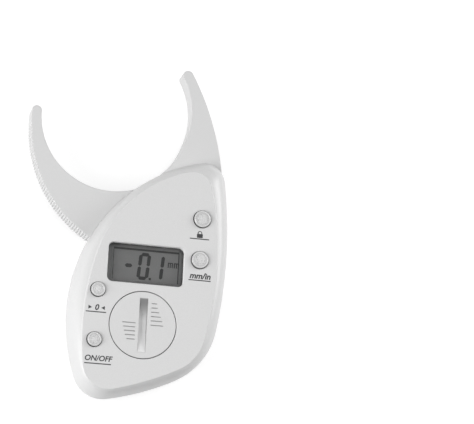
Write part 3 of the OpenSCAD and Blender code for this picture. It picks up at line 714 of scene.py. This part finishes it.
# Display: a reflective liquid crystal cell, two glass plates with a grey polariser on top, held
# in a black frame and fed through striped rubber strips. Its segments are dark when driven.
def display_grey(name, colour, roughness):
    made = moulded(name, colour, roughness, mottle=0.05, flake=0.06, scale=5000, relief=0.000004,
        rubbed_and_highlight=0.05, dust_and_shade=0.2)
    made.node_tree.nodes["Principled BSDF"].inputs["Specular IOR Level"].default_value = 0.35
    return made


def striped_rubber():
    made = moulded("striped_rubber", (0.6, 0.25, 0.3), 0.7, flake=0.0)
    tree, shader, base = opened(made)
    stripes = add_node(tree, "ShaderNodeTexWave", {"Vector": on_object(tree), "Scale": 900},
        bands_direction="X")
    tone = blend(tree, stripes.outputs["Fac"], (0.04, 0.04, 0.04, 1), base)
    tree.links.new(tone, shader.inputs["Base Color"])
    return made


GLASS_TOP = 18.2
cell_finish = display_grey("cell_glass_grey", (0.108, 0.107, 0.106), 0.3)
dress(cell_finish, "lcd_glass")
dress(striped_rubber(), "lcd_connector")
polariser = prism(
    "display_polariser", rounded_box((WINDOW[0] + 0.4, WINDOW[1] + 0.1), 28.4, 13.8, 0.3, 0, 4),
    GLASS_TOP - 0.05, GLASS_TOP + 0.14)
fit(polariser, "housing", display_grey("polariser_grey", (0.108, 0.107, 0.106), 0.28), "display")

INK_TOP = GLASS_TOP + 0.17
DIGIT_WIDE, DIGIT_TALL, STROKE, LEAN = 5.0, 11.5, 1.45, 0.085


def segment(kind, middle):
    """One driven segment of a digit, a bar with mitred ends, leaning as the digits do."""
    w, h, t = DIGIT_WIDE / 2 - STROKE / 2, DIGIT_TALL / 2 - STROKE / 2, STROKE / 2
    ends = {"top": ((-w, h), (w, h)), "middle": ((-w, 0), (w, 0)), "bottom": ((-w, -h), (w, -h)),
            "left_up": ((-w, 0), (-w, h)), "right_up": ((w, 0), (w, h)), "left_low": ((-w, -h), (-w, 0)),
            "right_low": ((w, -h), (w, 0))}
    (ax, ay), (bx, by) = ends[kind]
    long = math.hypot(bx - ax, by - ay)
    ux, uy = (bx - ax) / long, (by - ay) / long
    gap, bevel = 0.1, t * 0.75
    shape = [(gap, 0), (gap + bevel, t), (long - gap - bevel, t), (long - gap, 0), (long - gap - bevel, -t),
        (gap + bevel, -t)]
    flat_shape = [(ax + ux * p - uy * q, ay + uy * p + ux * q) for p, q in shape]
    return prism("segment", [(middle[0] + x + LEAN * y, middle[1] + y) for x, y in flat_shape],
        INK_TOP - 0.05, INK_TOP)


def joined(name, parts):
    """Several loose bodies as one piece."""
    work = bmesh.new()
    for part in parts:
        work.from_mesh(part.data)
        bpy.data.objects.remove(part)
    mesh = bpy.data.meshes.new(name)
    work.to_mesh(mesh)
    work.free()
    return placed(name, mesh)


def lettering(text, middle, size, z0, z1, lean=0.0, weight=0.0):
    """Generic characters as a thin solid between two heights, centred on a point."""
    curve = bpy.data.curves.new("lettering", "FONT")
    curve.body, curve.size, curve.shear, curve.offset, curve.extrude = (
        text, size, lean, weight, (z1 - z0) / 2)
    curve.align_x, curve.align_y, curve.resolution_u = "CENTER", "CENTER", 4
    source = placed("lettering", curve)
    bpy.context.view_layer.update()
    mesh = bpy.data.meshes.new_from_object(source.evaluated_get(bpy.context.evaluated_depsgraph_get()))
    bpy.data.objects.remove(source)
    mesh.transform(Matrix.Translation((middle[0], middle[1], (z0 + z1) / 2)))
    return placed("lettering", mesh)


row = WINDOW[1] - 0.25
zero, one = (WINDOW[0] - 0.3, row), (WINDOW[0] + 5.6, row)
segments = [segment(k, zero) for k in ("top", "bottom", "left_up", "right_up", "left_low", "right_low")]
segments += [segment(k, one) for k in ("right_up", "right_low")]
segments.append(prism(
    "dash", [(WINDOW[0] - 6.7 + x, row - 0.1 + y)
             for x, y in ((-1.6, 0), (-0.95, -0.8), (0.95, -0.8), (1.6, 0), (0.95, 0.8), (-0.95, 0.8))],
    INK_TOP - 0.05, INK_TOP))
segments.append(bar("point", (WINDOW[0] + 2.5, row - 5.1), 1.0, 1.0, 0, INK_TOP - 0.05, INK_TOP))
for left in (9.9, 12.5):
    unit = (WINDOW[0] + left, WINDOW[1] + 0.1)
    segments += [bar("stroke", (unit[0] + x + 0.1, unit[1] + 1.05), 2.1, 0.46, 88, INK_TOP - 0.05, INK_TOP)
        for x in (0, 0.84, 1.68)]
    segments.append(bar("shoulder", (unit[0] + 1, unit[1] + 2), 2.1, 0.42, 0, INK_TOP - 0.05,
        INK_TOP - 0.003))
fit(joined("display_segments", segments), "housing",
    display_grey("driven_crystal", (0.012, 0.012, 0.012), 0.3), "display")
# A dark line at the cell's visible edge. It is thin at the sides and made thick along the top as a painted
# shadow of the opening's top wall.
edge_line_and_shadow_bars = [
    bar("edge_line_and_shadow_bars", (WINDOW[0] + 0.6, WINDOW[1] + 6.6), 27.8, 0.8, 0, INK_TOP - 0.06, INK_TOP - 0.01),
    bar("edge_line_and_shadow_bars", (WINDOW[0] - 13.2, WINDOW[1] + 0.1), 13.2, 0.22, 90, INK_TOP - 0.06, INK_TOP - 0.015),
    bar("edge_line_and_shadow_bars", (WINDOW[0] + 14.3, WINDOW[1] + 0.1), 13.2, 0.4, 90, INK_TOP - 0.06, INK_TOP - 0.02),
]
fit(joined("display_edge_line_and_painted_shadow", edge_line_and_shadow_bars), "housing", display_grey("edge_line_and_shadow_grey", (0.016, 0.016, 0.016), 0.35),
    "display")

# Window: a clear acrylic plate behind the display opening, welded to the inside of the front
# half, polished, with slightly rounded edges. Only its outer faces mirror the room, because a
# mirror on the inner faces would turn the display black from low angles.
clear = bpy.data.materials.new("clear_acrylic")
clear.use_nodes = True
tree = clear.node_tree
shader = tree.nodes["Principled BSDF"]
shader.inputs["Transmission Weight"].default_value = 1
shader.inputs["IOR"].default_value = 1.49
smear = add_node(tree, "ShaderNodeTexNoise", {"Vector": on_object(tree), "Scale": 160, "Detail": 3})
tree.links.new(add_node(tree, "ShaderNodeMapRange",
    {"Value": smear.outputs[0], "To Min": 0.0, "To Max": 0.05}).outputs[0], shader.inputs["Roughness"])
tone = blend(tree, smear.outputs[0], (0.95, 0.97, 0.97, 1), (0.92, 0.94, 0.95, 1))
tree.links.new(tone, shader.inputs["Base Color"])
path = add_node(tree, "ShaderNodeLightPath")
direct = maths(tree, "MAXIMUM", path.outputs["Is Camera Ray"], path.outputs["Is Shadow Ray"])
open_way = add_node(tree, "ShaderNodeBsdfTransparent", {"Color": (0.955, 0.955, 0.955, 1)})
polish = add_node(tree, "ShaderNodeBsdfGlossy", {"Color": (1, 1, 1, 1), "Roughness": 0.06})
sheen = ramp(tree, add_node(tree, "ShaderNodeFresnel", {"IOR": 1.49}).outputs[0], 0.05, 1)
outside = maths(tree, "SUBTRACT", 1, add_node(tree, "ShaderNodeNewGeometry").outputs["Backfacing"])
outer_sheen = maths(tree, "MULTIPLY", sheen, outside)
faced = add_node(tree, "ShaderNodeMixShader",
    {0: outer_sheen, 1: open_way.outputs[0], 2: polish.outputs[0]})
either = add_node(tree, "ShaderNodeMixShader", {0: direct, 1: shader.outputs[0], 2: faced.outputs[0]})
tree.links.new(either.outputs[0], tree.nodes["Material Output"].inputs["Surface"])
LENS_RIM = 2.2
lens = skin_rings("display_window", stacked(
    lambda grow: rounded_box(WINDOW, WINDOW_SIZE[0] + LENS_RIM, WINDOW_SIZE[1] + LENS_RIM, 1.6, grow),
    ((-0.15, 18.5), (0, 18.65), (0, 19.85), (-0.15, 20))))
fit(lens, "housing", clear, "window", "window_lens")

# Buttons: four loose caps of the same silver-white plastic, each with a raised rim and a dimpled
# crown. A lip under the wall keeps them in, and a stem reaches the switch plunger below.
CAP_TOP = BODY_DEPTH + 1
button_finish = moulded("silver_white_button", (0.69, 0.69, 0.69), 0.22, mottle=0.22, flake=0.2, rubbed_and_highlight=0.7,
    dust_and_shade=0.9, coat=0.3)
# The cap's rim darkens to near black below its top: a painted shadow of the gap round the cap. Its strong
# nook darkening is dust and painted shade.
tree, shader, base = opened(button_finish)
axes = add_node(tree, "ShaderNodeSeparateXYZ", {0: on_object(tree)})
painted_shade_depth = ramp(tree, axes.outputs["Z"], (CAP_TOP - 0.1) / 1000, (CAP_TOP - 0.38) / 1000)
tree.links.new(blend(tree, painted_shade_depth, base, (0.16, 0.16, 0.16, 1)), shader.inputs["Base Color"])
for button, (x, y, r) in BUTTONS.items():
    lip = r + (0.7 if r > 3.3 else 0.5)
    under = [(0.1, 16.6), (1.2, 16.6), (1.2, 18.9), (lip - 0.1, 18.9), (lip, 19), (lip, 19.75),
        (lip - 0.1, 19.85), (r, 19.85)]
    edge = [(r, CAP_TOP - 0.55), (r - 0.04, CAP_TOP - 0.34), (r - 0.13, CAP_TOP - 0.18),
            (r - 0.28, CAP_TOP - 0.07), (r - 0.45, CAP_TOP - 0.03), (r - 0.6, CAP_TOP - 0.06),
            (r - 0.74, CAP_TOP - 0.1), (r - 0.84, CAP_TOP - 0.18), (r - 0.98, CAP_TOP - 0.18),
            (r - 1.06, CAP_TOP - 0.16)]
    crown_r = r - 1.14
    crown = [(crown_r * (1 - k / 16) + 0.04, CAP_TOP - 0.15 + 0.15 * math.sin(math.pi / 2 * k / 16))
        for k in range(17)]
    cap = turned("button_cap_" + button, (x, y), under + edge + crown)
    for v in cap.data.vertices:
        out = math.hypot(v.co.x - x, v.co.y - y)
        if v.co.z > CAP_TOP - 0.2 and out < crown_r:
            fade = min(1, (crown_r - out) / 0.4)
            v.co.z -= 0.14 * fade * max(0, noise.noise(Vector((v.co.x * 1.9, v.co.y * 1.9, r))) + 0.25)
    fit(cap, "press_" + button, button_finish, "button", "button_" + button)

# Battery and its holder: a 20 mm lithium coin cell in a black ring on the board, with a plated
# spring strip against its rim and another under its middle.
dress(metal("cell_can_steel", (0.68, 0.68, 0.68), 0.25, brush=0.8), "battery_cell")
dress(metal("plated_spring_strip", (0.8, 0.72, 0.5), 0.3, brush=0.5), "contact_plus", "contact_minus")

# Battery cover: a round plug of the housing's plastic with a slot for a coin and two groups of
# grip lines. Two lugs on its skirt lock behind the seat in the front half when it is turned.
COVER_TOP = BODY_DEPTH
cover = turned("coin_slot_cover", COVER, [
    (11.6, 17.2), (12.55, 17.2), (12.7, 17.35), (12.7, 20.2), (13.9, 20.2), (14, 20.3), (14, 21.45),
    (13.95, 21.7), (13.85, 21.86), (13.71, 21.96), (13.55, 22), (0.05, 22)], 160)
carve(cover, [drum("hollow", COVER, 11.6, 16, 19.6, 128)])
lugs = [bar("lug", (COVER[0] + side * 13.2, COVER[1]), 1.6, 5.6, 0, 17.6, 18.8) for side in (-1, 1)]
carve(cover, lugs, "UNION")
SLOT_LONG, SLOT_DEEP = 11.5, 1.6
slot_r = (SLOT_LONG ** 2 + SLOT_DEEP ** 2) / (2 * SLOT_DEEP)
arc = [(y, slot_r - SLOT_DEEP - math.sqrt(slot_r ** 2 - y * y))
    for y in (11.9 * (k / 20 - 1) for k in range(41))]
arc += [(11.9, 1), (-11.9, 1)]
slot = skin_rings("coin_slot",
    [[(COVER[0] + side * 1.75, COVER[1] + y, COVER_TOP + z) for y, z in arc] for side in (-1, 1)])
slot_mouth = mouth(
    "slot_mouth", lambda grow: rounded_box(COVER, 3.46, 22.1, 0.1, grow, 4),
    COVER_TOP - 0.2, COVER_TOP, 0.16)
grip = ((3.2, 9.2, 2.3), (3.2, 7.4, 2.7), (3.2, 5.6, 3.3), (3.2, 3.8, 4.1), (3.2, 2, 4.9), (3.2, 0.2, 5.3),
        (-8.6, 0.6, 5.6), (-8.1, -1.1, 5.1), (-7.7, -2.8, 4.7), (-7.2, -4.5, 4.2), (-6.4, -6.2, 3.4))
lines = [mouth(
    "grip_line", lambda grow, g=g: rounded_box(
        (COVER[0] + g[0] + g[2] / 2, COVER[1] + g[1]), g[2], 0.36, 0.17, grow, 4),
    COVER_TOP - 0.3, COVER_TOP, 0.12) for g in grip]
carve(cover, [slot, slot_mouth] + lines)
cover_finish = moulded("silver_white_cover", (0.71, 0.71, 0.71), 0.3, mottle=0.03, flake=0.05, rubbed_and_highlight=0.5,
    dust_and_shade=0.8, coat=0.15)
# Below the cover's face its colour carries painted light and shade. The coin slot runs from a painted shade
# at its top end to a painted highlight, lighter than the plastic, at its bottom end. Its side walls, the
# grip lines and the gap round the rim are darkened as painted shade. Its edges and nooks are toned strongly
# as wear, dust, painted highlight and painted shade.
tree, shader, base = opened(cover_finish)
place = on_object(tree)
from_middle = add_node(tree, "ShaderNodeVectorMath",
    {0: place, 1: (COVER[0] / 1000, COVER[1] / 1000, COVER_TOP / 1000)}, operation="SUBTRACT")
axes = add_node(tree, "ShaderNodeSeparateXYZ", {0: from_middle.outputs[0]})
painted_shade_depth = ramp(tree, axes.outputs["Z"], -0.00004, -0.0002)
level = add_node(tree, "ShaderNodeVectorMath", {0: from_middle.outputs[0], 1: (1, 1, 0)},
    operation="MULTIPLY")
to_rim = add_node(tree, "ShaderNodeVectorMath", {0: level.outputs[0]}, operation="LENGTH")
rim_gap_shade_mask = ramp(tree, to_rim.outputs["Value"], 0.0128, 0.0134)
along = ramp(tree, axes.outputs["Y"], 0.0101, 0.0008, interpolation_type="SMOOTHSTEP")
slot_painted_light_and_shade = blend(tree, along, (0.25, 0.25, 0.25, 1), (0.85, 0.85, 0.85, 1))
across = maths(tree, "ABSOLUTE", axes.outputs["X"])
grip_line_shade_mask = ramp(tree, across, 0.0021, 0.0024)
slot_wall_shade_mask = ramp(tree, across, 0.00148, 0.00168, 0.75)
slot_wall_painted_shade = blend(tree, slot_wall_shade_mask, slot_painted_light_and_shade, (0.33, 0.33, 0.33, 1))
grip_line_painted_shade = blend(tree, grip_line_shade_mask, slot_wall_painted_shade, (0.4, 0.4, 0.4, 1))
sunk_painted_shade = blend(tree, rim_gap_shade_mask, grip_line_painted_shade, (0.12, 0.12, 0.12, 1))
tree.links.new(blend(tree, painted_shade_depth, base, sunk_painted_shade), shader.inputs["Base Color"])
fit(cover, "cover", cover_finish, "shell", "battery_cover")

# Legends: pad-printed dark grey ink on the front face, a generic mark over an underline below
# each button. The marks are a padlock for hold, the units, a zero and the power switch's words.
INK_LOW, INK_HIGH = BODY_DEPTH - 0.01, BODY_DEPTH + 0.02
ink = moulded("dark_grey_ink", (0.045, 0.045, 0.048), 0.45, mottle=0.1, flake=0.05, rubbed_and_highlight=0.0, dust_and_shade=0.0)
marks = {
    "units": [lettering("mm/in", (18.4, -19.7), 3.5, INK_LOW, INK_HIGH, 0.2, 0.11),
              bar("underline", (18.3, -21.5), 9.4, 0.42, 0, INK_LOW, INK_HIGH)],
    "power": [lettering("ON/OFF", (-22.2, -57.6), 3.1, INK_LOW, INK_HIGH, 0.2, 0.075),
              bar("underline", (-22.2, -59.7), 11, 0.42, 0, INK_LOW, INK_HIGH)],
    "zero": [lettering("0", (-24, -36.6), 3.3, INK_LOW, INK_HIGH, 0.2, 0.09),
             bar("underline", (-24.2, -38.4), 8.4, 0.42, 0, INK_LOW, INK_HIGH)],
    "hold": [bar("underline", (17.4, -3.9), 8.2, 0.42, 0, INK_LOW, INK_HIGH)],
}
for side in (-1, 1):
    tip = -24 + side * 1.9
    marks["zero"].append(prism(
        "arrow", [(tip, -36.6), (tip + side * 1.5, -36.6 - 0.8), (tip + side * 1.5, -36.6 + 0.8)][::side],
        INK_LOW, INK_HIGH))
lock = (17.5, -2.6)
marks["hold"].append(prism("lock_body", rounded_box(lock, 2.5, 1.7, 0.25, 0, 4), INK_LOW, INK_HIGH))
bow = [(math.cos(math.pi * k / 16), math.sin(math.pi * k / 16)) for k in range(17)]
outer = [(lock[0] + 0.95 * c, lock[1] + 1.15 + 0.95 * s) for c, s in bow]
inner = [(lock[0] + 0.62 * c, lock[1] + 1.15 + 0.62 * s) for c, s in bow[::-1]]
marks["hold"].append(prism(
    "lock_bow", [(lock[0] + 0.95, lock[1] + 0.8)] + outer
    + [(lock[0] - 0.95, lock[1] + 0.8), (lock[0] - 0.62, lock[1] + 0.8)] + inner
    + [(lock[0] + 0.62, lock[1] + 0.8)], INK_LOW, INK_HIGH))
for mark, parts in marks.items():
    fit(joined("legend_" + mark, parts), "housing", ink, "dark_plastic")
